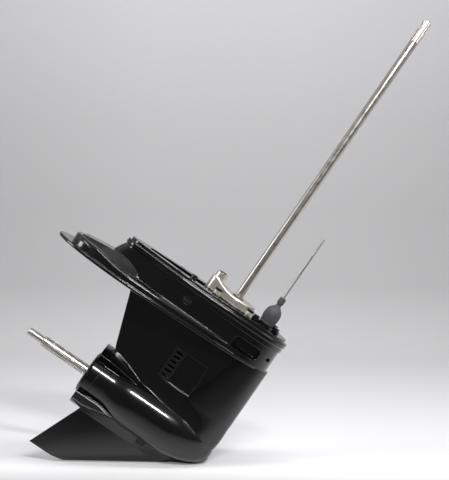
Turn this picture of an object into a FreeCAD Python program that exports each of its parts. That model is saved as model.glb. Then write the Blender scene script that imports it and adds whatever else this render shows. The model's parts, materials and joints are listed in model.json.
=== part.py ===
import FreeCAD, Part
import math
import os

Vector = FreeCAD.Vector

# Frame: origin on the drive shaft's axis at the deck, +X forward, +Y port, +Z up. Millimetres.

# Overall stations of the housing, along X
BOW_X = 101.0
STERN_X = -187.0
PLATE_AFT_X = -278.0
PLATE_FORE_X = 88.0
BARREL_AFT_X = -126.5
CAP_SEAM_X = -107.5
NOSE_X = 100.5

# Heights of the housing, along Z
FLANGE_DEPTH = 7.0
LEDGE_TOP_Z = -4.5
LEDGE_BOTTOM_Z = -13.0
BAND_BOTTOM_Z = -20.0
SHOULDER_TOP_Z = -45.0
PLATE_TOP_Z = -55.0
PLATE_THICKNESS = 5.0
PROP_Z = -209.5
SKEG_TIP_Z = -350.0

# Upper body: the stern wall leans aft as it falls, and a broad ridge carries it out over the plate
LEDGE_ROUND = 2.5
PLATE_ROUND = 1.8
SHOULDER_ROUND = 4.0
WALL_LEAN = [(-11.0, 0.0), (-33.0, -13.0), (-56.0, -17.0)]
SHOULDER_RISE = 5.0
SHOULDER_RISE_AFT_X = -212.0
SHOULDER_RISE_FORE_X = -172.0
SHOULDER_BOW_DROP = 2.5
RIDGE_RIBS = [(-130.0, -29.0, 17.0, 26.0), (-172.0, -30.0, 17.0, 40.0),
              (-212.0, -33.5, 16.0, 43.0), (-250.0, -38.5, 13.0, 23.0)]
RIDGE_END_X = -246.0
RIDGE_END_Z = -40.0
RIDGE_END_SLOPE = 0.45

# Strut and skeg: edges in the side view as x = place + rake * z, and section sizes by height
STRUT_FOOT_Z = -152.0
STRUT_TRAIL_X = -164.7
STRUT_RAKE = -0.349
STRUT_NOSE = 26.0
SKEG_LEAD_X = 438.0
SKEG_LEAD_RAKE = 1.5
SKEG_TRAIL_X = 3.4
SKEG_TRAIL_RAKE = 0.407
SKEG_TOE = [(-55.0, 22.0), (-70.0, 9.5), (-80.0, 4.8), (-100.0, 1.0), (-142.0, 0.0),
            (-142.0, -10.0), (0.0, -10.0), (0.0, 22.0)]
KEEL_TRAIL_X = -74.0
KEEL_TRAIL_HALF = 18.0
KEEL_NOSE = 76.0
KEEL_FORE_X = NOSE_X - 3.5

# Widths of the housing
LEDGE_HALF = 44.0
FLANGE_INSET = 5.0
BAND_INSET = 1.5
WALL_INSET = 3.5
PLATE_HALF = 65.0
SHOULDER_INSET = 4.0
SHOULDER_AFT_SHIFT = 18.0
STRUT_HALF = 22.5
TRAIL_HALF = 4.0
BARREL_R = 35.0
BODY_R = 41.0
LIP_R = BARREL_R + 17.0
LIP_WALL = 4.5
LIP_SPREAD = 41.0
LIP_GAP = 1.5
LIP_AFT_X = -122.5
LIP_BULGE_X = -104.0
LIP_TAPER_X = -84.0
LIP_FORE_X = -45.0
LIP_END = 6.0

# Running parts: shafts, bores and fits
RUN_FIT = 0.05
SLIDE_FIT = 0.20
SEAT_GAP = 0.30
DRIVE_R = 6.5
DRIVE_TOP_Z = 510.0
DRIVE_SPLINE = 36.0
PROP_R = 9.0
PROP_FRONT_R = 8.0
PROP_SPLINE_R = 8.5
PROP_SPLINE_AFT_X = -207.5
PROP_THREAD_R = 6.0
PROP_END_X = -234.0
PROP_FORE_X = 42.0
THRUST_X = 17.0
MAIN_BORE_R = 30.6
ROD_X = 57.0
ROD_R = 2.25
ROD_TOP_Z = 161.0
ROD_TRAVEL = 7.5

# Bevel gears: common apex on the propeller shaft's axis under the drive shaft
MODULE = 2.2
PINION_TEETH = 13
GEAR_TEETH = 26
FACE_WIDTH = 9.5
BACKLASH = 0.12
TIP_CLEARANCE = 0.25

# Dog clutch
CLUTCH_R = 14.0
CLUTCH_CORE = 3.5
JAW_HEIGHT = 4.0
JAW_COUNT = 4
JAW_ARC = 21.0
JAW_OFFSET = 22.5
JAW_INNER_R = 10.2
CLUTCH_TRAVEL = 4.5
JAW_GAP = 1.0
PIN_R = 2.0

# Bearings of the propeller shaft line
BEARING_BORE_R = 15.0
BEARING_R = 27.5
TAPER_WIDTH = 16.0
BALL_WIDTH = 13.0

# Water pump
GASKET = 0.6
WEAR_PLATE = 1.8
PUMP_TOP_Z = 13.5
PUMP_R = 28.0
PUMP_X = 3.0
CUP_WALL = 1.2
IMPELLER_R = 16.6
VANE_COUNT = 6
NECK_X = -39.0
NECK_R = 9.5
NECK_FOOT_Z = 21.0
NECK_WALL = 3.0
NECK_TOP_Z = 31.0
TUBE_R = 5.0

# Deck fixings
BOLT_SPAN_X = 140.0
BOLT_SPAN_Y = 58.0
BOLT_CENTRE_X = -25.0
BOLT_HOLE_R = 4.25
DOWEL_R = 5.0
DOWEL_X = -72.0
DOWEL_Y = 30.0
DOWEL_STAND = 8.0
CAVITY_HALF = 22.0
CAVITY_AFT_X = -150.0
CAVITY_FORE_X = -52.0
CAVITY_DEPTH = 48.0
RIB_XS = [-127.0, -70.0]
RIB_HALF = 1.6
RIB_TOP_Z = -3.0
DUCT_AFT_X = -118.0
DUCT_FORE_X = -74.0
DUCT_FOOT_AFT_X = -93.0
DUCT_FOOT_FORE_X = -84.0
DUCT_HALF = 6.0

# Water intake, both sides of the strut
SLOT_COUNT = 6
SLOT_PITCH = 7.9
SLOT_LENGTH = 11.0
SLOT_HEIGHT = 4.0
SLOT_AFT_X = -31.0
SLOT_TOP_Z = -102.0
SCREEN_THICKNESS = 2.0
SCREEN_MARGIN = 4.0
RAMP_FORE_X = 22.0

# Bearings and bushings around the upright shafts
PINION_BEARING_R = 14.5
PINION_BEARING_LENGTH = 18.0
PINION_POCKET_R = 17.5
PINION_POCKET_TOP = 33.0
UPPER_BEARING_R = 11.5
UPPER_BEARING_LENGTH = 14.0
SEAL_LENGTH = 8.0
ROD_BUSH_R = 5.0
ROD_BUSH_LENGTH = 14.0
ROD_THREAD = 28.0
ROD_GROOVE = 3.0
ROD_GROOVE_R = 1.8
SHIM = 0.5

# Wrench pockets at the bow bolts
POCKET_AFT_X = 26.0
POCKET_FORE_X = 74.0
POCKET_TOP_Z = -28.0
POCKET_BOTTOM_Z = -50.0
POCKET_DRAFT = 4.0
POCKET_CORNER = 7.0
BOW_HOLE_R = 3.0
BOW_HOLE_X = 88.0
BOW_HOLE_Z = -37.0
BOW_HOLE_FLOOR = 14.0
BOLT_BLIND = 26.0
DOWEL_SEAT = 12.0

# Bevel gear geometry worked out from module and tooth counts
GEAR_PITCH_R = MODULE * GEAR_TEETH / 2
PINION_PITCH_R = MODULE * PINION_TEETH / 2
GEAR_CONE = math.atan2(GEAR_TEETH, PINION_TEETH)
PINION_CONE = math.pi / 2 - GEAR_CONE
CONE_DISTANCE = math.hypot(GEAR_PITCH_R, PINION_PITCH_R)
ADDENDUM = MODULE
DEDENDUM = MODULE + TIP_CLEARANCE * MODULE

# Places that follow from the sizes above
GEAR_BACK_X = 24.0
JAW_TIP_X = CLUTCH_CORE + JAW_HEIGHT
GEAR_JAW_X = JAW_TIP_X + JAW_GAP
JAW_FLOOR_X = GEAR_JAW_X + JAW_HEIGHT
PINION_BEARING_TOP_Z = PROP_Z + PINION_POCKET_TOP + PINION_BEARING_LENGTH
UPPER_BEARING_Z = -SEAL_LENGTH - UPPER_BEARING_LENGTH
SCREEN_AFT_X = SLOT_AFT_X - SCREEN_MARGIN
SCREEN_FORE_X = SLOT_AFT_X + SLOT_LENGTH + SCREEN_MARGIN
SCREEN_TOP_Z = SLOT_TOP_Z + SCREEN_MARGIN
SCREEN_BOTTOM_Z = SLOT_TOP_Z - SLOT_HEIGHT - SLOT_PITCH * (SLOT_COUNT - 1) - SCREEN_MARGIN
PUMP_INLET_X = -17.5
DOWEL_PLACES = [(DOWEL_X, -DOWEL_Y), (-DOWEL_X, 20.0)]
PUMP_INLET_R = 3.5
RETAINER_BOLT_XS = [ROD_X - 18.0, ROD_X + 18.0]
RETAINER_BOLT_R = 2.5
RETAINER_BOLT_DEPTH = 12.0
PUMP_BOLT_PLACES = [(-31.0, -24.0), (-31.0, 24.0), (26.0, -22.0), (26.0, 22.0)]
PUMP_BOLT_R = 3.0
PUMP_BOLT_DEPTH = 18.0
PLUG_R = 4.0
PLUG_HEAD_R = 6.0
PLUG_LENGTH = 9.0
PLUG_PLACES = [(1.0, -253.0, -7.0), (-61.0, -28.0, -36.5)]

# Shift cam: the face that drives the plunger, and its hub on the rod
CAM_SLOPE = CLUTCH_TRAVEL / ROD_TRAVEL
PLUNGER_R = 3.9
PLUNGER_TIP_X = 50.0
CAM_LOW = -11.0
CAM_FACE_TOP = 12.0
CAM_TOP = 20.0
CAM_HUB_HALF = 5.5
CAM_HALF = 4.0
CAM_CHAMBER_R = 20.0

# Bolts of the bearing carrier, in its two ears
EAR_OFFSET = BARREL_R + 5.5
EAR_R = 6.0
EAR_LENGTH = 6.0
BOSS_FORE_X = -79.0
CARRIER_BOLT_R = 3.0
CARRIER_BOLT_REACH = 20.0
O_RING_X = -99.0
PROP_SEAL_R = 13.5
PROP_SEAL_LENGTH = 13.0
NEEDLE_R = 12.5
NEEDLE_LENGTH = 16.0
NEEDLE_FORE_X = -58.0
ROLLER_COUNT = 18
BALL_COUNT = 12

# Pinion and its seat on the drive shaft
PINION_FRONT = 20.1
PINION_BORE_R = 6.0
PINION_THREAD_R = 5.0
DRIVE_SPLINE_R = 7.0
DRIVE_SPLINE_TEETH = 12
PROP_SPLINE_TEETH = 14

# Clutch details
KEY_COUNT = 8
KEY_HALF = 1.0
RING_HALF = 1.0
RING_DEPTH = 0.9

# Pump details
CUP_R = 18.8
CUP_HEIGHT = 9.6
IMPELLER_HUB_R = 9.5
PUMP_SEAL_R = 9.5
EAR_TOP_Z = 7.0
PUMP_WEB_HALF = 4.5
PUMP_EAR_R = 6.5
PUMP_ROUND = 2.5
BOLT_HEAD_SPACE_R = 6.6
GROMMET_R = 6.5
GROMMET_LENGTH = 14.0

# Shift rod fixings
RETAINER_TOP_Z = 4.0
RETAINER_LOBE_R = 6.8
BOOT_BASE_Z = RETAINER_TOP_Z + SEAT_GAP
PLUG_HEAD = 2.5


def cylinder_z(radius, low, high, x=0.0, y=0.0):
    """Upright cylinder between two heights."""
    return Part.makeCylinder(radius, high - low, Vector(x, y, low), Vector(0, 0, 1))


def cylinder_x(radius, aft, fore, y=0.0, z=PROP_Z):
    """Cylinder along X between two stations, on the propeller shaft's axis unless moved."""
    return Part.makeCylinder(radius, fore - aft, Vector(aft, y, z), Vector(1, 0, 0))


def cylinder_y(radius, low, high, x, z):
    """Cylinder across the housing."""
    return Part.makeCylinder(radius, high - low, Vector(x, low, z), Vector(0, 1, 0))


def tube_x(outer, inner, aft, fore):
    return cylinder_x(outer, aft, fore).cut(cylinder_x(inner, aft - 1, fore + 1))


def tube_z(outer, inner, low, high, x=0.0, y=0.0):
    return cylinder_z(outer, low, high, x, y).cut(cylinder_z(inner, low - 1, high + 1, x, y))


def box(x0, x1, y0, y1, z0, z1):
    return Part.makeBox(x1 - x0, y1 - y0, z1 - z0, Vector(x0, y0, z0))


def prism_y(outline, low, high):
    """A side view outline, as (x, z) corners, carried across from y = low to y = high."""
    wire = Part.makePolygon([Vector(x, low, z) for x, z in outline + outline[:1]])
    return Part.Face(wire).extrude(Vector(0, high - low, 0))


def turned_x(profile, centre_z=PROP_Z, start=0.0, sweep=360.0):
    """A profile of (x, radius) corners turned about the propeller shaft's axis, from straight up."""
    corners = [Vector(x, 0, centre_z + r) for x, r in profile]
    face = Part.Face(Part.makePolygon(corners + corners[:1]))
    centre = Vector(0, 0, centre_z)
    face.rotate(centre, Vector(1, 0, 0), start)
    return face.revolve(centre, Vector(1, 0, 0), sweep)


def turned_z(profile, x=0.0, y=0.0):
    """A profile of (radius, z) corners turned about an upright axis."""
    corners = [Vector(x + r, y, z) for r, z in profile]
    face = Part.Face(Part.makePolygon(corners + corners[:1]))
    return face.revolve(Vector(x, y, 0), Vector(0, 0, 1), 360)


def joined(shapes):
    """One solid from overlapping ones."""
    return shapes[0].fuse(shapes[1:])


def around_x(shape, angle):
    turned = shape.copy()
    turned.rotate(Vector(0, 0, PROP_Z), Vector(1, 0, 0), angle)
    return turned


def around_z(shape, angle, x=0.0, y=0.0):
    turned = shape.copy()
    turned.rotate(Vector(x, y, 0), Vector(0, 0, 1), angle)
    return turned


def port_and_starboard(shape):
    """A starboard shape with its mirror image to port."""
    return [shape, shape.mirror(Vector(0, 0, 0), Vector(0, 1, 0))]


def save(name, *shapes):
    """Writes one node: a single solid, or a group of separate ones."""
    solids = [solid for shape in shapes for solid in shape.Solids]
    Part.Compound(solids).exportStep("parts/" + name + ".step")


def deck_outline(inset, z, aft_shift=0.0):
    """Boat-shaped outline of the upper housing, drawn in from the ledge by inset."""
    length = BOW_X - STERN_X
    half = LEDGE_HALF - inset
    stations = [(0.0, 0.0), (0.035, 0.32), (0.115, 0.52), (0.30, 0.88), (0.47, 1.0),
                (0.80, 1.0), (0.93, 0.80), (0.985, 0.42), (1.0, 0.0)]
    aft = STERN_X + inset + aft_shift
    reach = length - 2 * inset - aft_shift
    starboard = [Vector(aft + s * reach, -w * half, z) for s, w in stations]
    port = [Vector(p.x, -p.y, z) for p in reversed(starboard[1:-1])]
    curve = Part.BSplineCurve()
    curve.interpolate(starboard + port, PeriodicFlag=True)
    return Part.Wire(curve.toShape())


def plate_outline(inset, z, aft_shift=0.0):
    """Plan of the anti-ventilation plate: drawn out aft, widest over the propeller, slim at the bow."""
    half = PLATE_HALF - inset
    aft = PLATE_AFT_X + inset + aft_shift
    fore = PLATE_FORE_X - inset
    reach = fore - aft
    stations = [(0.0, 0.0), (0.02, 0.30), (0.075, 0.58), (0.16, 0.82), (0.28, 0.97), (0.40, 1.0),
                (0.55, 0.93), (0.72, 0.80), (0.90, 0.58), (0.98, 0.32), (1.0, 0.0)]
    starboard = [Vector(aft + s * reach, -w * half, z) for s, w in stations]
    port = [Vector(p.x, -p.y, z) for p in reversed(starboard[1:-1])]
    curve = Part.BSplineCurve()
    curve.interpolate(starboard + port, PeriodicFlag=True)
    return Part.Wire(curve.toShape())


def prism_z(wire, height):
    return Part.Face(wire).extrude(Vector(0, 0, height))


def foil(z, lead, trail, half, trail_half, nose):
    """Level section through strut or skeg: round nose of the given length, blunt trailing edge."""
    rounding = [(0.05, 0.30), (0.2, 0.56), (0.5, 0.83), (1.0, 1.0)]
    side = [Vector(lead - along * nose, -w * half, z) for along, w in rounding]
    shoulder = lead - nose
    middle = shoulder + (trail - shoulder) * 0.55
    side.append(Vector(middle, -(half * 0.88 + trail_half * 0.12), z))
    side.append(Vector(trail, -trail_half, z))
    port = [Vector(p.x, -p.y, z) for p in side]
    curve = Part.BSplineCurve()
    curve.interpolate(list(reversed(side)) + [Vector(lead, 0, z)] + port)
    skin = curve.toShape()
    edge = Part.makeLine(port[-1], side[-1])
    return Part.Wire([skin, edge])


def upper_body():
    """Deck flange, beaded ledge, band and the wall that leans aft down to the plate."""
    flange = prism_z(deck_outline(FLANGE_INSET, -FLANGE_DEPTH), FLANGE_DEPTH)
    ledge = prism_z(deck_outline(0, LEDGE_BOTTOM_Z), LEDGE_TOP_Z - LEDGE_BOTTOM_Z)
    ledge = ledge.makeFillet(LEDGE_ROUND, ledge.Edges)
    band = prism_z(deck_outline(BAND_INSET, BAND_BOTTOM_Z), LEDGE_BOTTOM_Z - BAND_BOTTOM_Z + 3)
    wall = Part.makeLoft([deck_outline(WALL_INSET, z, shift) for z, shift in WALL_LEAN], True)
    return [flange, ledge, band, wall]


def plate_and_shoulder():
    """Anti-ventilation plate with the rounded shoulder above it, which rises towards the stern."""
    plate = prism_z(plate_outline(0, PLATE_TOP_Z - PLATE_THICKNESS), PLATE_THICKNESS)
    plate = plate.makeFillet(PLATE_ROUND, plate.Edges)
    root = PLATE_TOP_Z - PLATE_THICKNESS / 2
    aft, fore = PLATE_AFT_X - 10, BOW_X + 20
    side_view = [(aft, root), (aft, SHOULDER_TOP_Z + SHOULDER_RISE),
                 (SHOULDER_RISE_AFT_X, SHOULDER_TOP_Z + SHOULDER_RISE), (SHOULDER_RISE_FORE_X, SHOULDER_TOP_Z),
                 (fore, SHOULDER_TOP_Z - SHOULDER_BOW_DROP), (fore, root)]
    shoulder = prism_z(plate_outline(SHOULDER_INSET, root, SHOULDER_AFT_SHIFT), -root)
    shoulder = shoulder.common(prism_y(side_view, -PLATE_HALF, PLATE_HALF))
    top_edges = [e for e in shoulder.Edges if e.BoundBox.ZMin > PLATE_TOP_Z + 3]
    return [plate, shoulder.makeFillet(SHOULDER_ROUND, top_edges)]


def ridge():
    """Broad ridge that carries the leaning stern wall out over the plate."""
    base = SHOULDER_TOP_Z - 1.0

    def rib(x, top, half, foot_half):
        corners = [Vector(x, -foot_half, PLATE_TOP_Z), Vector(x, -foot_half, base), Vector(x, -half, top),
                   Vector(x, half, top), Vector(x, foot_half, base), Vector(x, foot_half, PLATE_TOP_Z)]
        return Part.makePolygon(corners + corners[:1])

    body = Part.makeLoft([rib(*place) for place in RIDGE_RIBS], True)
    top_x = RIDGE_END_X - RIDGE_END_SLOPE * RIDGE_END_Z
    end = prism_y([(top_x, 0.0), (RIDGE_END_X + RIDGE_END_SLOPE * (PLATE_TOP_Z - RIDGE_END_Z), PLATE_TOP_Z),
                   (PLATE_AFT_X, PLATE_TOP_Z), (PLATE_AFT_X, 0.0)], -PLATE_HALF, PLATE_HALF)
    return [body.cut(end)]


def strut():
    """Blade between plate and torpedo with a straight raked trailing edge, on a foot that widens downwards."""
    def level(z, half, trail_half, nose, trail_x=None):
        trail = STRUT_TRAIL_X + STRUT_RAKE * z if trail_x is None else trail_x
        return foil(z, BOW_X + 0.3, trail, half, trail_half, nose)

    waist = level(STRUT_FOOT_Z, STRUT_HALF, TRAIL_HALF + 1, STRUT_NOSE + 1)
    blade = [level(PLATE_TOP_Z - 1, STRUT_HALF, TRAIL_HALF, STRUT_NOSE), waist]
    foot = [waist, level(PROP_Z + 39.5, STRUT_HALF + 2, TRAIL_HALF + 4, STRUT_NOSE + 10, -99.0),
            level(PROP_Z + 21.5, BODY_R - 11, TRAIL_HALF + 8, STRUT_NOSE + 28, -84.0),
            foil(PROP_Z, KEEL_FORE_X, KEEL_TRAIL_X, BODY_R - 3, KEEL_TRAIL_HALF, KEEL_NOSE)]
    return [Part.makeLoft(blade, True), Part.makeLoft(foot, True)]


def skeg():
    """Fairing under the torpedo that thins into the flat skeg blade with its raked leading edge."""
    def level(z, half, trail_half, nose, lead_shift=0.0):
        lead = SKEG_LEAD_X + SKEG_LEAD_RAKE * z + lead_shift
        return foil(z, lead, SKEG_TRAIL_X + SKEG_TRAIL_RAKE * z, half, trail_half, nose)

    fairing = [foil(PROP_Z, KEEL_FORE_X, KEEL_TRAIL_X, BODY_R - 3, KEEL_TRAIL_HALF, KEEL_NOSE),
               foil(PROP_Z - 9.0, NOSE_X + 0.3, KEEL_TRAIL_X - 10, BODY_R - 8, KEEL_TRAIL_HALF - 4, KEEL_NOSE),
               level(PROP_Z - 22.5, 23.0, 10.0, 64.0, 1.5),
               level(PROP_Z - 37.5, 12.0, 5.0, 44.0),
               level(PROP_Z - 54.5, 5.2, 2.6, 26.0)]
    blade = [level(PROP_Z - 46.5, 4.6, 2.4, 22.0), level(PROP_Z - 94.5, 3.6, 2.0, 18.0),
             level(SKEG_TIP_Z, 2.6, 1.6, 12.0)]
    toe_cut = prism_y([(x, SKEG_TIP_Z + z) for x, z in SKEG_TOE], -8, 8)
    return [Part.makeLoft(fairing, True), Part.makeLoft(blade, True).cut(toe_cut)]


def torpedo():
    """Barrel, fuller gear body and rounded nose, turned about the propeller shaft's axis."""
    nose = [(20.0 + (NOSE_X - 20.0) * math.sin(math.radians(a)), BODY_R * math.cos(math.radians(a)))
            for a in range(0, 90, 10)]
    curve = Part.BSplineCurve()
    start = [(-92.0, BARREL_R), (-80.0, BARREL_R + 0.4), (-62.0, BODY_R - 2), (-45.0, BODY_R), (-15.0, BODY_R)]
    points = [Vector(x, 0, PROP_Z + r) for x, r in start + nose] + [Vector(NOSE_X, 0, PROP_Z)]
    curve.interpolate(points)
    edges = [Part.makeLine(Vector(NOSE_X, 0, PROP_Z), Vector(CAP_SEAM_X, 0, PROP_Z)),
             Part.makeLine(Vector(CAP_SEAM_X, 0, PROP_Z), Vector(CAP_SEAM_X, 0, PROP_Z + BARREL_R)),
             Part.makeLine(Vector(CAP_SEAM_X, 0, PROP_Z + BARREL_R), Vector(-92.0, 0, PROP_Z + BARREL_R)),
             curve.toShape()]
    return Part.Face(Part.Wire(edges)).revolve(Vector(0, 0, PROP_Z), Vector(1, 0, 0), 360)


def exhaust_lips():
    """Hoods over and under the barrel, each a sector of a ring that tapers into the body."""
    profile = [(LIP_AFT_X, BARREL_R - 2), (LIP_AFT_X, LIP_R), (LIP_BULGE_X, LIP_R), (LIP_TAPER_X, LIP_R - 4),
               (LIP_FORE_X, BODY_R - 2), (LIP_FORE_X, BARREL_R - 2)]
    hood = turned_x(profile, PROP_Z, -LIP_SPREAD, 2 * LIP_SPREAD)
    rim = cylinder_x(BARREL_R + LIP_GAP, LIP_AFT_X - 1, CAP_SEAM_X)
    return [hood.cut(rim), around_x(hood, 180).cut(rim)]


def exhaust_outlets():
    """Crescent passages between barrel and lips; the upper one meets the duct down the strut."""
    outer = LIP_R - LIP_WALL
    inner = BARREL_R + LIP_GAP
    spread = LIP_SPREAD - LIP_END
    profile = [(LIP_AFT_X - 2, inner), (LIP_AFT_X - 2, outer), (LIP_BULGE_X + 8, outer),
               (LIP_TAPER_X + 2, outer - 4), (LIP_TAPER_X + 6, inner)]
    top = turned_x(profile, PROP_Z, -spread, 2 * spread)
    return [top, around_x(top, 180)]


def exhaust_cavity():
    """Open well in the deck with two cross ribs, and the duct that runs down inside the strut."""
    inset = LEDGE_HALF - CAVITY_HALF
    well = prism_z(deck_outline(inset, -CAVITY_DEPTH), CAVITY_DEPTH + 1)
    limits = box(CAVITY_AFT_X, CAVITY_FORE_X, -CAVITY_HALF, CAVITY_HALF, -CAVITY_DEPTH, 1)
    well = well.common(limits)
    for x in RIB_XS:
        well = well.cut(box(x - RIB_HALF, x + RIB_HALF, -LEDGE_HALF, LEDGE_HALF, -CAVITY_DEPTH - 1, RIB_TOP_Z))
    foot = PROP_Z + LIP_R - LIP_WALL - 2.0
    head = -CAVITY_DEPTH + 2
    duct = prism_y([(DUCT_AFT_X, head), (DUCT_FORE_X, head), (DUCT_FORE_X, foot + 10.0),
                    (DUCT_FOOT_FORE_X, foot), (DUCT_FOOT_AFT_X, foot)], -DUCT_HALF, DUCT_HALF)
    return [well, duct]


def main_bores():
    """Gear case bore from aft, bearing seat, cam chamber, and the bores for drive shaft and shift rod."""
    taper_fore = GEAR_BACK_X + TAPER_WIDTH
    bores = [cylinder_x(MAIN_BORE_R, CAP_SEAM_X - 1, GEAR_BACK_X),
             cylinder_x(BEARING_R, GEAR_BACK_X - 1, taper_fore + SHIM),
             cylinder_x(CAM_CHAMBER_R, taper_fore, ROD_X + 10.0),
             cylinder_z(DRIVE_R + 3.0, PROP_Z, 1),
             cylinder_z(PINION_POCKET_R, PROP_Z, PROP_Z + PINION_POCKET_TOP),
             cylinder_z(PINION_BEARING_R, PROP_Z, PINION_BEARING_TOP_Z),
             cylinder_z(UPPER_BEARING_R, UPPER_BEARING_Z, 1),
             cylinder_z(CAM_HUB_HALF + 3.5, PROP_Z, PROP_Z + CAM_TOP + ROD_TRAVEL + 4, ROD_X),
             cylinder_z(ROD_R + 1.6, PROP_Z, 1, ROD_X),
             cylinder_z(ROD_BUSH_R, -ROD_BUSH_LENGTH, 1, ROD_X)]
    return bores


def intake_pockets():
    """Ramp and chamber of the water intake on each side, with the duct up to the pump."""
    low = SCREEN_BOTTOM_Z
    face = STRUT_HALF + 5.0
    seat = STRUT_HALF - SCREEN_THICKNESS - 1.0
    middle = (RAMP_FORE_X + SCREEN_FORE_X) / 2
    rim = Part.makePolygon([Vector(x, y, low) for x, y in (
        (SCREEN_FORE_X, -seat - 0.5), (SCREEN_FORE_X, -seat), (SCREEN_AFT_X, -seat),
        (SCREEN_AFT_X, -face), (RAMP_FORE_X, -face), (RAMP_FORE_X, -STRUT_HALF))])
    slide = Part.Arc(rim.Vertexes[-1].Point, Vector(middle, -STRUT_HALF + 1.2, low), rim.Vertexes[0].Point)
    ramp = Part.Face(Part.Wire(rim.Edges + [slide.toShape()])).extrude(Vector(0, 0, SCREEN_TOP_Z - low))
    chamber = box(SLOT_AFT_X - 1, SLOT_AFT_X + SLOT_LENGTH + 1, -seat - 0.1, -8.0,
                  low + SCREEN_MARGIN, SCREEN_TOP_Z - SCREEN_MARGIN)
    duct = cylinder_z(PUMP_INLET_R, SCREEN_TOP_Z - 20, 1, PUMP_INLET_X, 0)
    link_half = seat - 1.5
    link = box(SLOT_AFT_X + SLOT_LENGTH, PUMP_INLET_X + PUMP_INLET_R, -link_half, link_half,
               SCREEN_TOP_Z - 24, SCREEN_TOP_Z - 8)
    return port_and_starboard(ramp) + port_and_starboard(chamber) + [duct, link]


def pocket_rim(inset, y):
    """Round-cornered outline of a wrench pocket on a plane across the housing."""
    x0, x1 = POCKET_AFT_X + inset, POCKET_FORE_X - inset
    z0, z1 = POCKET_BOTTOM_Z + inset, POCKET_TOP_Z - inset
    r = POCKET_CORNER - inset / 2
    edges = []
    for x, z, turn in ((x1 - r, z1 - r, 0), (x0 + r, z1 - r, 90), (x0 + r, z0 + r, 180), (x1 - r, z0 + r, 270)):
        arc = [Vector(x + r * math.cos(math.radians(turn + a)), y, z + r * math.sin(math.radians(turn + a)))
               for a in (0, 45, 90)]
        edges.append(Part.Arc(*arc).toShape())
    sides = [Part.makeLine(edges[i].Vertexes[-1].Point, edges[(i + 1) % 4].Vertexes[0].Point) for i in range(4)]
    return Part.Wire([e for pair in zip(edges, sides) for e in pair])


def deck_holes():
    """Bolt holes and dowel holes of the midsection joint, and the wrench pockets beside the bow bolts."""
    holes = []
    for x in (BOLT_CENTRE_X - BOLT_SPAN_X / 2, BOLT_CENTRE_X + BOLT_SPAN_X / 2):
        for y in (-BOLT_SPAN_Y / 2, BOLT_SPAN_Y / 2):
            depth = POCKET_TOP_Z - 2 if x > 0 else -BOLT_BLIND
            holes.append(cylinder_z(BOLT_HOLE_R, depth, 1, x, y))
    mouth = pocket_rim(0.0, -LEDGE_HALF - 5)
    floor = pocket_rim(POCKET_DRAFT, -BOLT_SPAN_Y / 2 + BOLT_HOLE_R + 4)
    holes += port_and_starboard(Part.makeLoft([mouth, floor], True))
    holes += port_and_starboard(cylinder_y(BOW_HOLE_R, -LEDGE_HALF, -BOW_HOLE_FLOOR, BOW_HOLE_X, BOW_HOLE_Z))
    for x, y in DOWEL_PLACES:
        holes.append(cylinder_z(DOWEL_R, -DOWEL_SEAT, 1, x, y))
    for x in RETAINER_BOLT_XS:
        holes.append(cylinder_z(RETAINER_BOLT_R, -RETAINER_BOLT_DEPTH, 1, x))
    for x, y in PUMP_BOLT_PLACES:
        holes.append(cylinder_z(PUMP_BOLT_R, -PUMP_BOLT_DEPTH, 1, x, y))
    holes += [plug_hole(*place) for place in PLUG_PLACES]
    return holes


def plug_hole(x, z, face_y):
    """Stepped hole of a plug: spot face for head and washer, and the hole for its shank."""
    spot = cylinder_y(PLUG_HEAD_R + 0.5, face_y - 20, face_y, x, z)
    return spot.fuse(cylinder_y(PLUG_R, face_y - 1, face_y + PLUG_LENGTH, x, z))


def gear_housing():
    """The whole casting: outer form, then every bore, passage and pocket."""
    body = joined(upper_body() + plate_and_shoulder() + ridge() + strut() + skeg() + [torpedo()]
                  + exhaust_lips())
    hollows = main_bores() + exhaust_outlets() + exhaust_cavity() + intake_pockets() + deck_holes()
    body = body.cut(hollows)
    for side in (1, -1):
        boss = cylinder_x(EAR_R, CAP_SEAM_X, BOSS_FORE_X, 0, PROP_Z + side * EAR_OFFSET)
        bolt = cylinder_x(CARRIER_BOLT_R, CAP_SEAM_X - 1, CAP_SEAM_X + CARRIER_BOLT_REACH, 0,
                          PROP_Z + side * EAR_OFFSET)
        body = body.fuse(boss).cut([bolt, cylinder_x(MAIN_BORE_R, CAP_SEAM_X - 1, 0)])
    return body


def bevel_flank(cone, pitch_r):
    """Half of a bevel tooth's outline at the outer end: (width, height) over the pitch point."""
    virtual_r = pitch_r / math.cos(cone)
    pressure = math.radians(20.0)
    base_r = virtual_r * math.cos(pressure)
    half_angle = (math.pi * MODULE / 2 - BACKLASH) / (2 * virtual_r)
    heights = [-DEDENDUM - 0.25, -DEDENDUM * 0.55, -DEDENDUM * 0.2, ADDENDUM * 0.3, ADDENDUM * 0.7, ADDENDUM]
    outline = []
    for height in heights:
        radius = virtual_r + height
        turn = math.acos(min(1.0, base_r / radius))
        angle = half_angle + (math.tan(pressure) - pressure) - (math.tan(turn) - turn)
        outline.append((radius * math.sin(angle), radius * math.cos(angle) - virtual_r))
    return outline


def bevel_tooth(cone, pitch_r):
    """One tooth over the +Z direction of a gear on the X axis, drawn towards the apex."""
    along = Vector(math.cos(cone), 0, math.sin(cone))
    outward = Vector(-math.sin(cone), 0, math.cos(cone))
    across = Vector(0, 1, 0)
    apex = Vector(0, 0, 0)
    flank = bevel_flank(cone, pitch_r)
    outline = [(-w, h) for w, h in flank] + [(w, h) for w, h in reversed(flank)]

    def ring(distance):
        scale = distance / CONE_DISTANCE
        points = [apex + along * distance + across * (w * scale) + outward * (h * scale) for w, h in outline]
        return Part.makePolygon(points + points[:1])

    return Part.makeLoft([ring(CONE_DISTANCE - FACE_WIDTH), ring(CONE_DISTANCE)], True, True)


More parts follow.
